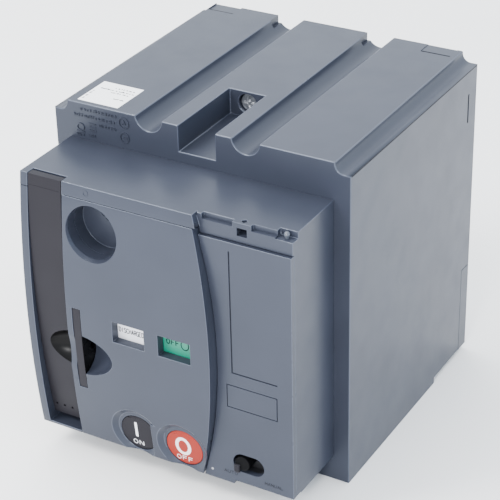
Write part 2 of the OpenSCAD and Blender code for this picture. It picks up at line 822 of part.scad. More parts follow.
module stop_pawl() color(steel) difference() {
    union() {
        rod_x(-45.4, -41.8, stop_pin, 4.2);
        yz_plate(-45.4, 3.6) translate(shaft) rotate(-48)
            polygon([[12.4, 11.2], [14.5, 13.5], [29.2, 3.4], [30, -1], [24, -2.6]]);
    }
    rod_x(-60, -30, stop_pin, 2.05);
}

// ---------- charging shaft, gears and motor ----------

module charging_shaft() color(steel) rod_x(-54.5, 52, shaft, shaft_r);

module main_gear() color(steel) difference() {
    gear(main_module, main_teeth, 44.2, 6, shaft, idler_dir);
    rod_x(40, 60, shaft, shaft_r);
    for (i = [0 : 5]) rod_x(40, 60, arm(shaft, i * 60, 18), 5);
}

module rack_pinion() color(steel) difference() {
    gear(rack_module, rack_teeth_on_pinion, -6, 12, shaft, 0);
    rod_x(-10, 10, shaft, shaft_r);
}

module intermediate_gear() color(brass) difference() {
    union() {
        gear(main_module, idler_pinion_teeth, 43, 8.4, idler, facing(idler_dir, idler_pinion_teeth));
        gear(motor_module, idler_teeth, 38.4, 4.6, idler, motor_dir);
    }
    rod_x(30, 60, idler, 3.06);
    for (i = [0 : 5]) rod_x(30, 43 - eps, arm(idler, i * 60 + 30, 16), 4.4);
}

module motor_shaft() color(steel) rod_x(25, 43.6, motor, 3);

module motor_pinion() color(brass) difference() {
    gear(motor_module, motor_teeth, 37.9, 5.6, motor, facing(motor_dir, motor_teeth));
    rod_x(30, 50, motor, 3);
}

// ---------- toggle carriage ----------

fork_gap = 15;
fork_x = 19;

module toggle_carriage() color(steel) difference() {
    union() {
        for (s = [-1, 1]) {
            rod_z(carriage_z0, carriage_z1, s * rod_x, rod_y, boss_r);
            box(s * 25.5 - 2, s * 25.5 + 2, rod_y, back_y - 4, 86, 98);
        }
        box(-rod_x, rod_x, rod_y - 3, rod_y + 3, carriage_z0, carriage_z1);
        // upper and lower jaws round the breaker's toggle
        for (s = [-1, 1]) box(-25.5, 25.5, 66, back_y - 4, 92 + s * (fork_gap / 2 + 3) - 3,
            92 + s * (fork_gap / 2 + 3) + 3);
        for (s = [-1, 1]) box(s * 22.5 - 3.2, s * 22.5 + 3.2, 66, back_y - 4, 78.5, 105.5);
    }
    for (s = [-1, 1]) rod_z(carriage_z0 - 1, carriage_z1 + 1, s * rod_x, rod_y, rod_r + 1.5);
}

module carriage_bushes() color(brass) for (s = [-1, 1]) difference() {
    rod_z(carriage_z0, carriage_z1, s * rod_x, rod_y, rod_r + 1.5);
    rod_z(carriage_z0 - 1, carriage_z1 + 1, s * rod_x, rod_y, rod_r + 0.06);
}

rack_pitch = PI * rack_module;
rack_z0 = shaft[1] - 2 * rack_pitch;
rack_gaps = 10;

module carriage_rack() color(steel) yz_plate(-5, 10) {
    tip_y = rack_pitch_y - 0.8 * rack_module;
    root_y = rack_pitch_y + 1.1 * rack_module;
    tip_half = rack_pitch / 4 * backlash - 0.8 * rack_module * tan(20);
    root_half = rack_pitch / 4 * backlash + 1.1 * rack_module * tan(20);
    polygon([
        [rod_y - 3, rack_z0 - rack_pitch / 2],
        [root_y, rack_z0 - rack_pitch / 2],
        for (i = [1 : rack_gaps])
            let (z = rack_z0 + (i - 0.5) * rack_pitch)
            each [[root_y, z - root_half], [tip_y, z - tip_half], [tip_y, z + tip_half],
                [root_y, z + root_half]],
        [root_y, rack_z0 + (rack_gaps + 0.5) * rack_pitch],
        [rod_y - 3, rack_z0 + (rack_gaps + 0.5) * rack_pitch]
    ]);
}

module closing_springs() color(steel) for (s = [-1, 1])
    translate([s * rod_x, rod_y, spring_z0]) coil(5, 0.9, carriage_z0 - spring_z0 - 0.1, 9);

// ---------- controls ----------

module button(x) {
    intersection() {
        button_round(x, nose_y - 1, rim_y + 1.5, button_r, 0);
        behind_face(x - 20, x + 20, button_inset);
    }
    rod_y(rim_y, -59, x, button_z, stem_r);
}

module on_button() color(charcoal) button(button_x[0]);
module off_button() color([0.8, 0.3, 0.25]) button(button_x[1]);

module button_spring(x) color(steel) translate([x, guide_y, button_z]) rotate([90, 0, 0])
    coil(5.4, 0.4, guide_y - rim_y - 1.7, 4);

module on_button_spring() button_spring(button_x[0]);
module off_button_spring() button_spring(button_x[1]);

// Lever under a button that trips the stored-energy latch
module latch(x) color(steel) difference() {
    yz_plate(x - 3, 6) {
        translate([latch_y, latch_z]) circle(4.6);
        polygon([
            [latch_y - 4.4, latch_z - 1], [-58.4, 26], [-58.4, 20], [-54.5, 20],
            [latch_y + 1, latch_z - 4.4], [latch_y + 4.4, latch_z]
        ]);
    }
    rod_x(x - 5, x + 5, [latch_y, latch_z], 2.55);
}

module on_latch() latch(button_x[0]);
module off_latch() latch(button_x[1]);

module padlock_tab() color(charcoal) difference() {
    union() {
        intersection() {
            box(tab_x0, tab_x1, nose_y - 1, -59, tab_z0, tab_z1);
            behind_face(-50, 0, 0.2);
        }
        // ears that stop the tab behind the cover, above and below the bowl
        for (z = [[tab_z0 - 1, 43.5], [70, tab_z1 + 1]]) box(tab_x0 - 0.9, tab_x1 + 1.2, -61, -59, z[0], z[1]);
    }
    for (z = [48, 59, 70]) rod_x(tab_x0 - 1, tab_x1 + 1, [-71, z], 4);
}

module selector_knob() color(black) {
    rod_y(panel_y - 0.4, rim_y + 3.2, slot_x0, slot_z, 3.4);
    rod_y(rim_y + 3, rim_y + 6, slot_x0, slot_z, 1.2);
}

module flag(x, tint) color(tint)
    box(x + window_w / 2 - flag_w / 2, x + window_w / 2 + flag_w / 2, flag_y, flag_y + flag_t,
        window_z1 + 0.6 - flag_h, window_z1 + 0.6);

module charge_flag() flag(window_x[0], "white");
module contact_flag() flag(window_x[1], [0.1, 0.6, 0.5]);

rear_housing();
rear_plate();
front_block();  // front_housing
front_cover();
accessory_cover();
keylock_blank();
rating_label();
seal_stud();
side_plate_left();
side_plate_right();
frame_spacers();
frame_screws();
housing_screws();
guide_rods();
rod_bracket_bottom();
rod_bracket_top();
motor_body();
motor_gearhead();
motor_screws();
intermediate_axle();
shaft_bushings();
lever_pin();
latch_axle();
stop_pawl_pin();
lever_return_spring();
limit_switches();
circuit_board();
terminal_block();
terminal_screws();
flag_frame();
selector_tray();
selector_switch();
charging_lever();
lever_sector();
lever_rivets();
pawl_carrier();
drive_pawl();
charging_shaft();
main_gear();
ratchet_wheel();
rack_pinion();
intermediate_gear();
motor_shaft();
motor_pinion();
toggle_carriage();
carriage_rack();
carriage_bushes();
closing_springs();
on_button();
off_button();
on_button_spring();
off_button_spring();
on_latch();
off_latch();
stop_pawl();
padlock_tab();
selector_knob();
charge_flag();
contact_flag();
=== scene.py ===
import json
import math
import random

import bmesh
import bpy
from mathutils import Matrix, Vector
from mathutils.bvhtree import BVHTree

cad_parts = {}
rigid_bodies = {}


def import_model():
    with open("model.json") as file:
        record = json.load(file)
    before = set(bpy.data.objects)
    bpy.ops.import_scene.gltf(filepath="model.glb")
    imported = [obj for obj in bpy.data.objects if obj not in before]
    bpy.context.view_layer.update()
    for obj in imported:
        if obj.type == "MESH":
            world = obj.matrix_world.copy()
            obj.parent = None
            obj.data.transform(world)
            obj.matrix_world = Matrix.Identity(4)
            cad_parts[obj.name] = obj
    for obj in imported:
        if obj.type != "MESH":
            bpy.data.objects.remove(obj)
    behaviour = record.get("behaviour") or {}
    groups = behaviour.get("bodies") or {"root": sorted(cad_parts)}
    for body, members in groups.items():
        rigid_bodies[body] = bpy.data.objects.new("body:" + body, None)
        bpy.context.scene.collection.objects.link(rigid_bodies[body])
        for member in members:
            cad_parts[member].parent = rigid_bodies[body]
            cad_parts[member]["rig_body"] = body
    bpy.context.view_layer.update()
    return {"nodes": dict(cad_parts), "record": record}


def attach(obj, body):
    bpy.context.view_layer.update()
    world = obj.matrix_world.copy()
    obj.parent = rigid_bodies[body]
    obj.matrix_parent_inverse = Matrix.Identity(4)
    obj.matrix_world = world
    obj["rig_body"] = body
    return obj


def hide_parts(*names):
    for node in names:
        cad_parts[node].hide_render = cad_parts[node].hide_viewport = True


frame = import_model()
NODES = frame["nodes"]
# Blender works in metres. Places and widths on the object are in millimetres, and become metres with MM
MM = 0.001


# ---------- materials ----------

# Size and depth of the grain on moulded plastic and of the scratches on metal
GRAIN_SIZE = 0.35 * MM
GRAIN_DEPTH = 0.08 * MM
SCRATCH_SIZE = 0.6 * MM
SCRATCH_DEPTH = 0.03 * MM

# Size of the patches in which plastic changes its colour and its sheen, and metal its colour
MOTTLE_SIZE = 30 * MM
SHEEN_SIZE = 12 * MM
TARNISH_SIZE = 10 * MM

# Part of the range of noise, around its middle, over which a colour or a number changes
NOISE_LOW = 0.3
NOISE_HIGH = 0.7


def principled(name, color, roughness, metallic=0.0):
    """A new material and its main shader."""
    mat = bpy.data.materials.new(name)
    mat.use_nodes = True
    shader = mat.node_tree.nodes["Principled BSDF"]
    shader.inputs["Base Color"].default_value = (*color, 1)
    shader.inputs["Roughness"].default_value = roughness
    shader.inputs["Metallic"].default_value = metallic
    return mat, shader


def noise(tree, size, detail=3.0, stretch=(1, 1, 1)):
    """Noise whose blobs are about size metres across, in the object's own space."""
    coords = tree.nodes.new("ShaderNodeTexCoord")
    mapping = tree.nodes.new("ShaderNodeMapping")
    mapping.inputs["Scale"].default_value = stretch
    texture = tree.nodes.new("ShaderNodeTexNoise")
    texture.inputs["Scale"].default_value = 1 / size
    texture.inputs["Detail"].default_value = detail
    tree.links.new(coords.outputs["Object"], mapping.inputs["Vector"])
    tree.links.new(mapping.outputs["Vector"], texture.inputs["Vector"])
    return texture.outputs["Fac"]


def ramp(tree, value, low, high):
    """Colour that goes from low to high as value goes over the middle of its range."""
    node = tree.nodes.new("ShaderNodeValToRGB")
    node.color_ramp.elements[0].position = NOISE_LOW
    node.color_ramp.elements[1].position = NOISE_HIGH
    node.color_ramp.elements[0].color = (*low, 1)
    node.color_ramp.elements[1].color = (*high, 1)
    tree.links.new(value, node.inputs["Fac"])
    return node.outputs["Color"]


def spread(tree, value, low, high):
    """A number that goes from low to high as value goes over the middle of its range."""
    node = tree.nodes.new("ShaderNodeMapRange")
    node.inputs["From Min"].default_value = NOISE_LOW
    node.inputs["From Max"].default_value = NOISE_HIGH
    node.inputs["To Min"].default_value = low
    node.inputs["To Max"].default_value = high
    tree.links.new(value, node.inputs["Value"])
    return node.outputs["Result"]


def bump(tree, shader, value, strength, depth):
    """Unevenness of the surface, depth metres deep at full strength."""
    node = tree.nodes.new("ShaderNodeBump")
    node.inputs["Strength"].default_value = strength
    node.inputs["Distance"].default_value = depth
    tree.links.new(value, node.inputs["Height"])
    tree.links.new(node.outputs["Normal"], shader.inputs["Normal"])


def tinted(color, factor):
    return tuple(min(1, c * factor) for c in color)


def plastic(name, color, roughness, grain_strength=0.25, mottle=0.05, specular=0.5, tint=(1, 1, 1)):
    """Moulded plastic: spark-eroded grain, faint mottling and uneven sheen."""
    mat, shader = principled(name, color, roughness)
    tree = mat.node_tree
    shader.inputs["Specular IOR Level"].default_value = specular
    shader.inputs["Specular Tint"].default_value = (*tint, 1)
    clouds = noise(tree, MOTTLE_SIZE, 4)
    tree.links.new(ramp(tree, clouds, tinted(color, 1 - mottle), tinted(color, 1 + mottle)),
                   shader.inputs["Base Color"])
    sheen = noise(tree, SHEEN_SIZE, 5)
    tree.links.new(spread(tree, sheen, roughness - 0.04, roughness + 0.04), shader.inputs["Roughness"])
    bump(tree, shader, noise(tree, GRAIN_SIZE, 2), grain_strength, GRAIN_DEPTH)
    return mat


def metal(name, color, roughness, stretch=(1, 1, 1)):
    """Metal with fine scratches drawn out along one direction."""
    mat, shader = principled(name, color, roughness, 1.0)
    tree = mat.node_tree
    scratches = noise(tree, SCRATCH_SIZE, 4, stretch)
    tree.links.new(spread(tree, scratches, roughness - 0.08, roughness + 0.12), shader.inputs["Roughness"])
    tree.links.new(ramp(tree, noise(tree, TARNISH_SIZE, 3), tinted(color, 0.9), tinted(color, 1.05)),
                   shader.inputs["Base Color"])
    bump(tree, shader, scratches, 0.15, SCRATCH_DEPTH)
    return mat


def two_tone(name, upper, lower, split_z):
    """Plastic that changes colour at one height, for a flag that shows one half at a time."""
    blend = 0.05 * MM
    mat = plastic(name, upper, 0.4, mottle=0.0)
    tree = mat.node_tree
    coords = tree.nodes.new("ShaderNodeTexCoord")
    parts = tree.nodes.new("ShaderNodeSeparateXYZ")
    step = tree.nodes.new("ShaderNodeMapRange")
    step.inputs["From Min"].default_value = split_z - blend
    step.inputs["From Max"].default_value = split_z + blend
    tree.links.new(coords.outputs["Object"], parts.inputs["Vector"])
    tree.links.new(parts.outputs["Z"], step.inputs["Value"])
    tree.links.new(ramp(tree, step.outputs["Result"], lower, upper),
                   tree.nodes["Principled BSDF"].inputs["Base Color"])
    return mat


SLATE = (0.024, 0.0272, 0.0395)
SLATE_SHEEN = (0.81, 0.885, 1.0)
GREEN = (0.006, 0.2, 0.125)
slate_plastic = plastic("slate_plastic", SLATE, 0.33, mottle=0.08, specular=0.35, tint=SLATE_SHEEN)
# Rounded edges keep no grain from the mould, so they shine a little more; they are also painted half again
# lighter than the slate, a painted highlight along the edges
slate_edge_highlight = plastic("slate_edge_highlight", tinted(SLATE, 1.5), 0.3, grain_strength=0.05, specular=0.7,
                     tint=SLATE_SHEEN)
frame_plastic = plastic("frame_plastic", (0.012, 0.012, 0.014), 0.45)
lever_plastic = plastic("lever_plastic", (0.0115, 0.0105, 0.0135), 0.45, specular=0.13,
                        tint=(0.92, 0.93, 1.0))
# Glossy plastic painted much darker than the lever and tab: painted shade in the finger bowl and on the
# tab's sides inside it
shaded_gloss_plastic = plastic("shaded_gloss_plastic", (0.0025, 0.0023, 0.0025), 0.28, grain_strength=0.05, specular=0.12)
knob_plastic = plastic("knob_plastic", (0.0025, 0.0025, 0.003), 0.5, specular=0.05)
black_plastic = plastic("black_plastic", (0.004, 0.004, 0.0045), 0.3, specular=0.15)
red_plastic = plastic("red_plastic", (0.245, 0.0165, 0.0085), 0.42, mottle=0.03, specular=0.2)
pin_plastic = plastic("pin_plastic", (0.06, 0.068, 0.085), 0.3)
green_plastic = plastic("green_plastic", GREEN, 0.35, specular=0.3)
board_green = plastic("board_green", (0.03, 0.14, 0.07), 0.4)
terminal_plastic = plastic("terminal_plastic", (0.05, 0.2, 0.1), 0.4)
motor_paint = plastic("motor_paint", (0.02, 0.02, 0.023), 0.35)
white_paper = plastic("white_paper", (0.9, 0.9, 0.9), 0.45, mottle=0.02)
white_ink = plastic("white_ink", (0.85, 0.85, 0.88), 0.45, mottle=0.02)
pink_ink = plastic("pink_ink", (0.85, 0.72, 0.72), 0.45, mottle=0.02)
# Black for print, and for painted shadow in the engraved lines and beside the slots of the snap catches
black_ink_and_shade = plastic("black_ink_and_shade", (0.008, 0.008, 0.01), 0.6, mottle=0.02, specular=0.1)
spot_ink = plastic("spot_ink", (0.3, 0.3, 0.32), 0.45)
steel = metal("steel", (0.62, 0.63, 0.65), 0.3, (1, 12, 12))
bronze = metal("bronze", (0.72, 0.52, 0.26), 0.3)
FLAG_SPLIT_Z = 67.5 * MM
charge_paint = two_tone("charge_paint", (0.82, 0.82, 0.86), (0.8, 0.5, 0.03), FLAG_SPLIT_Z)
contact_paint = two_tone("contact_paint", GREEN, (0.4, 0.022, 0.01), FLAG_SPLIT_Z)

SLOT_MATERIALS = {
    "housing_plastic": slate_plastic, "frame_plastic": frame_plastic, "lever_plastic": lever_plastic,
    "black_plastic": black_plastic, "stop_red": red_plastic, "label_white": white_paper,
    "flag_green": green_plastic, "board_green": board_green, "terminal_plastic": terminal_plastic,
    "motor_paint": motor_paint, "bronze": bronze, "steel": steel,
}
# Nodes that look different from the rest of their slot
NODE_MATERIALS = {
    "charge_flag": charge_paint, "contact_flag": contact_paint, "selector_knob": knob_plastic,
    "seal_stud": pin_plastic,
}
SLOTS = {part["node"]: part["material_slot"] for part in frame["record"]["subparts"]}


def material_of(name):
    return NODE_MATERIALS.get(name, SLOT_MATERIALS[SLOTS[name]])


def dress_nodes():
    """Every CAD node gets its own material, or that of its slot."""
    for name, node in NODES.items():
        node.data.materials.clear()
        node.data.materials.append(material_of(name))


# ---------- finished mouldings ----------

# Width in millimetres of the rounded edges of each node that is moulded, pressed or machined
EDGES = {
    "rear_housing": 0.45, "front_housing": 0.25, "front_cover": 0.2, "accessory_cover": 0.2,
    "keylock_blank": 0.15, "rear_plate": 0.25, "charging_lever": 0.2, "padlock_tab": 0.12,
    "on_button": 0.25, "off_button": 0.25, "selector_knob": 0.25, "toggle_carriage": 0.25,
    "seal_stud": 0.15, "terminal_block": 0.15, "housing_screws": 0.15, "side_plate_left": 0.15,
    "side_plate_right": 0.15, "motor_body": 0.4,
}
EDGE_SEGMENTS = 2
# An edge is a corner, and is rounded, where its faces meet at more than this angle
CORNER_ANGLE = math.radians(32)

# Nodes with curves of many short edges, which would hold back the rounding of all their other edges
UNCLAMPED = ("rear_housing", "front_housing", "front_cover", "accessory_cover")

# Boxes in millimetres, low corner then high corner, inside which the edges stay sharp: slots, grooves and
# steps too narrow to round, and edges with a dark line beside them
PARTING_LINE = ((-75, -85, 129.3), (75, -60, 129.8))
KEEN_EDGES = {
    "rear_housing": [
        ((-75, 72.4, 40), (75, 74, 160)),       # catch slots
        ((-75, 72.9, -5), (75, 73.4, 46)),      # outlines of the side catches
        ((-75, 72.4, 140), (75, 85, 160)),      # tongues and squared ends of the grooves
        ((-69, -45, -5), (69, 85, 20)),         # underside
        ((-75, 70, -5), (75, 85, 50)),          # side catches
        ((-66, -45, 148), (-60, 85, 160)),      # outer edge of the left rib
        ((69, -45, 146.5), (71, 85, 148)),      # upper edge of the right side
        ((-71, -45, 146.5), (-69, 85, 148)),    # upper edge of the left side
    ],
    "front_housing": [
        PARTING_LINE,
        ((21, -85, 126), (62, -58, 135)),       # bays of the hinge strip
    ],
    "front_cover": [
        ((-60, -85, 42), (-26, -60, 70)),       # finger bowl
        ((1, -85, 8), (25, -60, 33)),           # hole of the OFF button
    ],
    "accessory_cover": [
        ((30, -85, 48), (57, -60, 124)),        # engraved lines
        ((25, -85, 12), (57, -60, 30)),         # selector slot
    ],
    "keylock_blank": [
        ((-60, -74, 90), (0, -72, 140)),        # rim of the cup
    ],
    "charging_lever": [PARTING_LINE],
}

# The front edge of the keylock well is rounded more than the other edges of the cover
WELL_X = -27.6
WELL_Z = 115.9
WELL_RIM_REACH = (11.6, 14.2)
WELL_RIM_Y = -74
WELL_RIM_ANGLE = 0.2
WELL_RIM_WIDTH = 0.8


def is_keen(name, point):
    boxes = KEEN_EDGES.get(name, [])
    return any(all(low[i] < point[i] < high[i] for i in range(3)) for low, high in boxes)


def is_well_rim(edge):
    middle = (edge.verts[0].co + edge.verts[1].co) / 2 / MM
    reach = math.hypot(middle.x - WELL_X, middle.z - WELL_Z)
    at_rim = WELL_RIM_REACH[0] < reach < WELL_RIM_REACH[1] and middle.y < WELL_RIM_Y
    return at_rim and edge.calc_face_angle(0) > WELL_RIM_ANGLE


def round_well_rim(work):
    rim = [edge for edge in work.edges if is_well_rim(edge)]
    bmesh.ops.bevel(work, geom=rim, offset=WELL_RIM_WIDTH * MM, segments=4, profile=0.5, affect="EDGES",
                    clamp_overlap=True)


def link(name, data):
    """A new object in the scene, from a mesh, a camera or a light."""
    piece = bpy.data.objects.new(name, data)
    bpy.context.scene.collection.objects.link(piece)
    return piece


def apply_modifiers(piece):
    bpy.context.view_layer.update()
    shown = piece.evaluated_get(bpy.context.evaluated_depsgraph_get())
    piece.data = bpy.data.meshes.new_from_object(shown)
    piece.modifiers.clear()


def find_corners(name, mesh):
    """Cleans the mesh, marks its corners for rounding by a bevel weight, and leaves the keen ones sharp."""
    work = bmesh.new()
    work.from_mesh(mesh)
    bmesh.ops.remove_doubles(work, verts=work.verts, dist=0.002 * MM)
    bmesh.ops.dissolve_limit(work, angle_limit=math.radians(0.05), verts=work.verts, edges=work.edges)
    if name == "front_cover":
        round_well_rim(work)
    weights = work.edges.layers.float.new("bevel_weight_edge")
    for edge in work.edges:
        keen = all(is_keen(name, vert.co / MM) for vert in edge.verts)
        corner = edge.calc_face_angle(0) > CORNER_ANGLE
        edge[weights] = 1.0 if corner and not keen else 0.0
        edge.smooth = not (corner and keen)
    for face in work.faces:
        face.smooth = True
    work.to_mesh(mesh)
    work.free()


def finished(name, width):
    """A copy of a CAD node with its corners rounded, which then stands for the node."""
    node = NODES[name]
    mesh = node.data.copy()
    mesh.name = name + "_moulding"
    main = material_of(name)
    # The faces of the rounded edges take the last material: on slate nodes the slate painted lighter, a
    # painted highlight
    mesh.materials.append(slate_edge_highlight if main is slate_plastic else main)
    find_corners(name, mesh)
    piece = link(name + "_moulding", mesh)
    bevel = piece.modifiers.new("bevel", "BEVEL")
    bevel.width = width * MM
    bevel.segments = EDGE_SEGMENTS
    bevel.limit_method = "WEIGHT"
    bevel.use_clamp_overlap = name not in UNCLAMPED
    bevel.material = len(mesh.materials) - 1
    normals = piece.modifiers.new("normals", "WEIGHTED_NORMAL")
    normals.mode = "FACE_AREA_WITH_ANGLE"
    normals.keep_sharp = True
    apply_modifiers(piece)
    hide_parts(name)
    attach(piece, node["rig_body"])
    return piece


def repaint(piece, material, chosen):
    """Gives another material to the faces for which chosen(centre in millimetres, normal) holds."""
    piece.data.materials.append(material)
    for face in piece.data.polygons:
        if chosen(face.center / MM, face.normal):
            face.material_index = len(piece.data.materials) - 1


# The front of the lever is an arc seen from the side, furthest forward at mid height
LEVER_FRONT_Y = -79.4
LEVER_MIDDLE_Z = 88
LEVER_FRONT_R = 409
LEVER_DIMPLE_Z = (46, 67)
LEVER_DIMPLE_DEPTH = 0.08


def lever_front_y(z):
    return LEVER_FRONT_Y + LEVER_FRONT_R - math.sqrt(LEVER_FRONT_R ** 2 - (z - LEVER_MIDDLE_Z) ** 2)


def in_lever_dimple(centre, normal):
    """Whether a face is of the finger dimple: at its height, facing forward, behind the lever's front."""
    at_height = LEVER_DIMPLE_Z[0] < centre.z < LEVER_DIMPLE_Z[1]
    return at_height and normal.y < -0.1 and centre.y > lever_front_y(centre.z) + LEVER_DIMPLE_DEPTH


def on_tab_side(centre, normal):
    """Whether a face of the padlocking tab is on its left or right side, which is painted darker as shade
    inside the finger bowl.
    """
    return abs(normal.x) > 0.7


# ---------- marks printed or raised on a surface ----------

# Where a mark is looked for from each side: the start of the ray for plane position u, v, and its direction
SIDES = {
    "front": (lambda u, v: Vector((u * MM, -0.2, v * MM)), Vector((0, 1, 0))),
    "top": (lambda u, v: Vector((u * MM, v * MM, 0.3)), Vector((0, 0, -1))),
    "left": (lambda u, v: Vector((-0.2, u * MM, v * MM)), Vector((1, 0, 0))),
    "right": (lambda u, v: Vector((0.2, u * MM, v * MM)), Vector((-1, 0, 0))),
}
# Millimetres between the points of a mark, and how far a mark goes under the surface
MARK_STEP = 0.6
MARK_SINK = 0.03


def surface(piece):
    """The shape of a piece, for finding points on it."""
    verts = [piece.matrix_world @ v.co for v in piece.data.vertices]
    return BVHTree.FromPolygons(verts, [list(p.vertices) for p in piece.data.polygons])


def resampled(path, closed):
    """The points of a path, with more between them where they are far apart."""
    ends = path[1:] + path[:1] if closed else path[1:]
    points = []
    for (u0, v0), (u1, v1) in zip(path, ends):
        count = max(1, math.ceil(math.hypot(u1 - u0, v1 - v0) / MARK_STEP))
        points += [(u0 + (u1 - u0) * i / count, v0 + (v1 - v0) * i / count) for i in range(count)]
    return points if closed else points + [path[-1]]


def ribbon(work, points, closed, width, place, lift):
    """A flat raised line along points; place(u, v, height) puts it on the surface."""
    count = len(points)
    rings = []
    for i, (u, v) in enumerate(points):
        before = points[i - 1] if closed or i > 0 else points[i]
        after = points[(i + 1) % count] if closed or i < count - 1 else points[i]
        along = [Vector((u - before[0], v - before[1])), Vector((after[0] - u, after[1] - v))]
        along = [a.normalized() for a in along if a.length > 1e-9]
        middle = (along[0] + along[-1]).normalized()
        # A mitre at each bend, which stays under twice the width where the bend is tight
        reach = width / 2 / max(0.5, middle.dot(along[0]))
        across = Vector((-middle.y, middle.x)) * reach
        left, right = (u + across.x, v + across.y), (u - across.x, v - across.y)
        rings.append([work.verts.new(place(*spot, height)) for spot, height in
                      ((left, lift), (right, lift), (right, -MARK_SINK), (left, -MARK_SINK))])
    for i in range(count if closed else count - 1):
        a, b = rings[i], rings[(i + 1) % count]
        for k in range(4):
            work.faces.new((a[k], a[(k + 1) % 4], b[(k + 1) % 4], b[k]))
    if not closed:
        work.faces.new(rings[0][::-1])
        work.faces.new(rings[-1])


def marks(name, on, body, material, strokes, width, side="front", lift=0.04):
    """Lines printed or moulded on a piece. Each stroke is its path in millimetres, and whether it closes."""
    shape = surface(on)
    start, into = SIDES[side]

    def place(u, v, height):
        hit = shape.ray_cast(start(u, v), into)[0]
        if hit is None:
            raise ValueError(f"{name} has a point at {u:.1f}, {v:.1f} that isn't on {on.name}")
        return hit - into * height * MM

    work = bmesh.new()
    for path, closed in strokes:
        ribbon(work, resampled(path, closed), closed, width, place, lift)
    bmesh.ops.recalc_face_normals(work, faces=work.faces)
    mesh = bpy.data.meshes.new(name)
    work.to_mesh(mesh)
    work.free()
    mesh.materials.append(material)
    piece = link(name, mesh)
    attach(piece, body)


def oval(u, v, ru, rv, steps=32):
    turns = (2 * math.pi * i / steps for i in range(steps))
    return [(u + ru * math.cos(a), v + rv * math.sin(a)) for a in turns], True


def line(*points):
    return list(points), False


# Strokes of the few capitals in use, in a box one unit wide and one unit high; an O is an oval
CAPITALS = {
    "A": [[(0, 0), (0.5, 1), (1, 0)], [(0.2, 0.36), (0.8, 0.36)]],
    "C": [[(1, 0.8), (0.75, 1), (0.25, 1), (0, 0.75), (0, 0.25), (0.25, 0), (0.75, 0), (1, 0.2)]],
    "D": [[(0, 0), (0, 1), (0.6, 1), (1, 0.75), (1, 0.25), (0.6, 0), (0, 0)]],
    "E": [[(1, 1), (0, 1), (0, 0), (1, 0)], [(0, 0.52), (0.85, 0.52)]],
    "F": [[(0, 0), (0, 1), (1, 1)], [(0, 0.54), (0.85, 0.54)]],
    "G": [[(1, 0.8), (0.75, 1), (0.25, 1), (0, 0.75), (0, 0.25), (0.25, 0), (1, 0), (1, 0.45), (0.6, 0.45)]],
    "H": [[(0, 0), (0, 1)], [(1, 0), (1, 1)], [(0, 0.52), (1, 0.52)]],
    "I": [[(0.5, 0), (0.5, 1)]],
    "L": [[(0, 1), (0, 0), (1, 0)]],
    "M": [[(0, 0), (0, 1), (0.5, 0.3), (1, 1), (1, 0)]],
    "N": [[(0, 0), (0, 1), (1, 0), (1, 1)]],
    "R": [[(0, 0), (0, 1), (0.9, 1), (0.9, 0.5), (0, 0.5)], [(0.5, 0.5), (1, 0)]],
    "S": [[(1, 0.85), (0.75, 1), (0.2, 1), (0, 0.75), (1, 0.3), (0.8, 0), (0.25, 0), (0, 0.15)]],
    "T": [[(0, 1), (1, 1)], [(0.5, 1), (0.5, 0)]],
    "U": [[(0, 1), (0, 0.3), (0.2, 0.06), (0.5, 0), (0.8, 0.06), (1, 0.3), (1, 1)]],
}


def word(text, u, v, letter, height, gap):
    """Strokes of a word centred on u, v, from the width and height of a letter and the gap after it."""
    left = u - (len(text) * letter + (len(text) - 1) * gap) / 2
    strokes = []
    for i, sign in enumerate(text):
        u0, v0 = left + i * (letter + gap), v - height / 2
        if sign == "O":
            strokes.append(oval(u0 + letter / 2, v, letter / 2, height / 2, 20))
        else:
            strokes += [line(*((u0 + a * letter, v0 + b * height) for a, b in stroke))
                        for stroke in CAPITALS[sign]]
    return strokes


def ticks(u0, u1, v, height, seed):
    """A row of small upright dashes that stands for fine print and says nothing."""
    draw = random.Random(seed)
    strokes = []
    u = u0
    while u < u1:
        tall = height * draw.uniform(0.6, 1.0)
        strokes.append(line((u, v - height / 2), (u, v - height / 2 + tall)))
        if draw.random() < 0.45:
            level = v + height * draw.uniform(-0.4, 0.4)
            strokes.append(line((u + 0.05, level), (u + 0.6, level)))
        u += draw.choice((0.55, 0.7, 0.9, 1.5))
    return strokes


def tick_rows(rows, first_seed):
    """Rows of ticks, each given as its two ends, its place and its height."""
    strokes = []
    for seed, row in enumerate(rows, first_seed):
        strokes += ticks(*row, seed)
    return strokes


# ---------- marks on each piece ----------

def button_signs(on_button, off_button):
    """I and ON on one button, O and OFF on the other."""
    marks("on_sign", on_button, "on_button", white_ink, [line((-13.4, 19), (-13.4, 26.8))], 1.2)
    marks("on_word", on_button, "on_button", white_ink,
          word("ON", -13.1, 15.9, letter=2.0, height=2.2, gap=1.0), 0.25)
    marks("off_sign", off_button, "off_button", pink_ink, [oval(10, 22, 3.1, 4.0)], 1.55)
    marks("off_word", off_button, "off_button", pink_ink,
          word("OFF", 10.1, 15.4, letter=1.9, height=2.2, gap=1.0), 0.27)


def rib_marks(rear_housing):
    """Raised marks on the front of the left rib: rows of dashes, two round signs and two small ones."""
    strokes = tick_rows([(-56.5, -38.8, 149.4, 1.3), (-59.7, -38.8, 146.4, 1.3), (-47.3, -38.9, 143.5, 1.2),
                         (-52.8, -49.4, 138, 1), (-59, -55.2, 137.4, 1)], 1)
    strokes += [oval(-35, 147.3, 2.3, 2.4), line((-35.7, 146.6), (-35, 148.2), (-34.3, 146.6))]
    strokes += [oval(-35, 140.6, 2.1, 2.3), line((-36.2, 140.6), (-33.8, 140.6))]
    strokes += [oval(-57, 140.9, 1.7, 1.5), line((-59, 138.9), (-55, 138.9))]
    strokes += [line((-52.6, z), (-49.2, z)) for z in (143.4, 141.9, 140.4)]
    marks("rib_marks", rear_housing, "housing", slate_plastic, strokes, 0.36, lift=0.4)


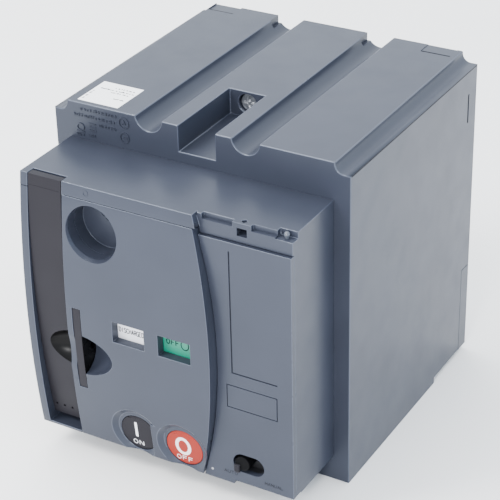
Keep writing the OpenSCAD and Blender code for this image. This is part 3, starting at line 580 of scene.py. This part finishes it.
def moulding_marks(front_housing, keylock_blank):
    """The mark of an ejector pin above the cover, and the marks at the bottom of the keylock well."""
    marks("ejector_ring", front_housing, "housing", slate_plastic, [oval(-30.1, 132.9, 1.1, 1.1)], 0.25,
          lift=0.15)
    marks("well_ring", keylock_blank, "housing", slate_plastic,
          [oval(-28.5, 119.6, 1.7, 1.5), line((-28.0, 117.2), (-26.4, 116.2), (-25.2, 116.6))], 0.3,
          lift=0.25)


def housing_dark_lines(rear_housing):
    """Dark lines along the upper edge of each side, and painted shadow beside the slots of the snap catches.
    """
    edge_line_z, side_slot_y, top_slot_y = 147.0, 72.25, 72.85
    for side in ("left", "right"):
        marks("seam_" + side, rear_housing, "housing", black_ink_and_shade,
              [line((-39.9, edge_line_z), (80.6, edge_line_z)), line((side_slot_y, 122.5), (side_slot_y, 136))], 0.5,
              side=side, lift=0.02)
    slots = [line((u0, top_slot_y), (u1, top_slot_y)) for u0, u1 in ((46.4, 60.1), (-62.6, -49.2))]
    marks("seam_top", rear_housing, "housing", black_ink_and_shade, slots, 0.45, side="top", lift=0.02)


def label_print(label):
    """Rows of dashes in place of the label's print, with a column of short ones down its left side."""
    strokes = tick_rows([(-50.9, -41.4, -21.6, 0.8), (-56.9, -40.6, -23.9, 0.8), (-50.4, -42.1, -25.9, 0.8),
                         (-45.9, -41.5, -30.9, 0.8)], 6)
    strokes += [line((-58.7, y), (-57.9, y + 0.5)) for y in (-36, -35.2, -33.4, -32.6, -30.4, -29.6, -27.8)]
    marks("label_print", label, "housing", black_ink_and_shade, strokes, 0.42, side="top", lift=0.02)


def panel_marks(panel):
    """Words under the selector, painted shadow in the bottoms of the engraved lines, and the small light
    spot.
    """
    marks("auto_word", panel, "housing", black_ink_and_shade,
          word("AUTO", 32.7, 16.3, letter=1.25, height=1.4, gap=0.45), 0.2)
    marks("manual_word", panel, "housing", black_ink_and_shade,
          word("MANUAL", 53.2, 16.2, letter=1.05, height=1.4, gap=0.42), 0.2)
    box_outline = ([(32.1, 49.3), (55.3, 49.3), (55.3, 60.1), (32.1, 60.1)], True)
    grooves = [line((34.8, 122.4), (34.8, 66.4)), line((35.0, 66.4), (55.4, 66.4)), box_outline]
    marks("line_shadow", panel, "housing", black_ink_and_shade, grooves, 0.3, lift=0.02)
    marks("light_spot", panel, "housing", spot_ink, [oval(23.75, 14.9, 0.28, 0.28, 12)], 0.55, lift=0.1)


def flag_prints(charge_flag, contact_flag):
    """The upper half of each flag shows at rest, the lower half when the flag has moved up."""
    print_lift = 0.03
    marks("discharged_word", charge_flag, "charge_flag", black_ink_and_shade,
          word("DISCHARGED", -12.6, 72.2, letter=0.85, height=2.1, gap=0.38), 0.34, lift=print_lift)
    zigzag = [(-15.5 + 1.3 * i, 60.6 + 3.4 * (i % 2)) for i in range(7)]
    marks("spring_sign", charge_flag, "charge_flag", black_ink_and_shade, [line(*zigzag)], 0.5, lift=print_lift)
    off_signs = word("OFF", 7.6, 73.4, letter=1.4, height=2.4, gap=0.8) + [oval(13.4, 73.4, 1.8, 2.2, 24)]
    marks("contact_off", contact_flag, "contact_flag", black_ink_and_shade, off_signs, 0.42, lift=print_lift)
    on_signs = [line((7.2, 60), (7.2, 65))] + word("ON", 12.6, 62.5, letter=2, height=3, gap=0.9)
    marks("contact_on", contact_flag, "contact_flag", white_ink, on_signs, 0.4, lift=print_lift)


def selector_pointer():
    """Lug on the selector knob that points at the word for its position, narrower at the front."""
    low, high = Vector((34.6, -76.7, 17.7)), Vector((37.6, -75.6, 21.9))
    middle = (low + high) / 2
    front_share = 0.75
    work = bmesh.new()
    bmesh.ops.create_cube(work, size=1)
    for vert in work.verts:
        taper = front_share if vert.co.y < 0 else 1.0
        half = Vector((vert.co.x * taper, vert.co.y, vert.co.z * taper))
        vert.co = Vector(middle[i] + half[i] * (high[i] - low[i]) for i in range(3)) * MM
    mesh = bpy.data.meshes.new("selector_pointer")
    work.to_mesh(mesh)
    work.free()
    piece = link("selector_pointer", mesh)
    bevel = piece.modifiers.new("bevel", "BEVEL")
    bevel.width = 0.3 * MM
    bevel.segments = 3
    apply_modifiers(piece)
    piece.data.materials.append(lever_plastic)
    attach(piece, "selector_knob")


# ---------- stage ----------

CAMERA_AZIMUTH = math.radians(30.63)
CAMERA_ELEVATION = math.radians(29.69)
CAMERA_ROLL = math.radians(-1.44)
CAMERA_DISTANCE = 0.7696
CAMERA_TARGET = Vector((-0.0002, 0.0003, 0.0758))
CAMERA_LENS = 125.7
CAMERA_SENSOR = 36

FLOOR_HALF = 3.0
FLOOR_DARK = (0.91, 0.895, 0.875)
FLOOR_LIGHT = (0.94, 0.925, 0.905)
SKY_COLOR = (0.87, 0.93, 1.0)
SKY_STRENGTH = 2.8
OBJECT_MIDDLE = (0, 0, 0.08)
LEVER_BOWL = (-0.047, -0.075, 0.052)


def make_camera():
    data = bpy.data.cameras.new("camera")
    data.sensor_width = CAMERA_SENSOR
    data.lens = CAMERA_LENS
    data.clip_start = 0.01
    camera = link("camera", data)
    level = math.cos(CAMERA_ELEVATION)
    back = Vector((math.sin(CAMERA_AZIMUTH) * level, -math.cos(CAMERA_AZIMUTH) * level,
                   math.sin(CAMERA_ELEVATION)))
    right = Vector((0, 0, 1)).cross(back).normalized()
    up = back.cross(right)
    turned_right = right * math.cos(CAMERA_ROLL) + up * math.sin(CAMERA_ROLL)
    turned_up = up * math.cos(CAMERA_ROLL) - right * math.sin(CAMERA_ROLL)
    place = Matrix((turned_right, turned_up, back)).transposed().to_4x4()
    place.translation = CAMERA_TARGET + back * CAMERA_DISTANCE
    camera.matrix_world = place
    bpy.context.scene.camera = camera


def area_light(name, place, aim, size, power, color=(1, 1, 1)):
    data = bpy.data.lights.new(name, "AREA")
    data.size = size
    data.energy = power
    data.color = color
    light = link(name, data)
    light.location = place
    light.rotation_euler = (Vector(aim) - Vector(place)).to_track_quat("-Z", "Y").to_euler()


def make_floor():
    signs = ((-1, -1), (1, -1), (1, 1), (-1, 1))
    corners = [(x * FLOOR_HALF, y * FLOOR_HALF, 0) for x, y in signs]
    mesh = bpy.data.meshes.new("floor")
    mesh.from_pydata(corners, [], [(0, 1, 2, 3)])
    mat, shader = principled("floor_paper", FLOOR_DARK, 0.9)
    tree = mat.node_tree
    tree.links.new(ramp(tree, noise(tree, 0.2), FLOOR_DARK, FLOOR_LIGHT), shader.inputs["Base Color"])
    mesh.materials.append(mat)
    floor = link("floor", mesh)


def make_lights():
    """An even pale sky, soft lights above, in front and to the right, and the glint in the lever's bowl."""
    world = bpy.data.worlds.new("studio")
    bpy.context.scene.world = world
    world.use_nodes = True
    background = world.node_tree.nodes["Background"]
    background.inputs["Color"].default_value = (*SKY_COLOR, 1)
    background.inputs["Strength"].default_value = SKY_STRENGTH
    area_light("key", (-0.5, 0.3, 1.6), OBJECT_MIDDLE, 1.0, 20)
    area_light("front", (-0.55, -0.62, 1.0), OBJECT_MIDDLE, 0.35, 15)
    area_light("side", (1.5, 0.1, 0.7), OBJECT_MIDDLE, 1.0, 6, (0.2, 0.55, 1.0))
    area_light("glint", (0.24, -0.86, 0.48), LEVER_BOWL, 0.13, 6)


# ---------- assembly ----------

dress_nodes()
parts = {name: finished(name, width) for name, width in EDGES.items()}
# Painted shade: the lever's finger bowl and the tab's sides take the darker gloss plastic
repaint(parts["charging_lever"], shaded_gloss_plastic, in_lever_dimple)
repaint(parts["padlock_tab"], shaded_gloss_plastic, on_tab_side)
button_signs(parts["on_button"], parts["off_button"])
rib_marks(parts["rear_housing"])
moulding_marks(parts["front_housing"], parts["keylock_blank"])
housing_dark_lines(parts["rear_housing"])
label_print(NODES["rating_label"])
panel_marks(parts["accessory_cover"])
flag_prints(NODES["charge_flag"], NODES["contact_flag"])
selector_pointer()
make_camera()
make_floor()
make_lights()
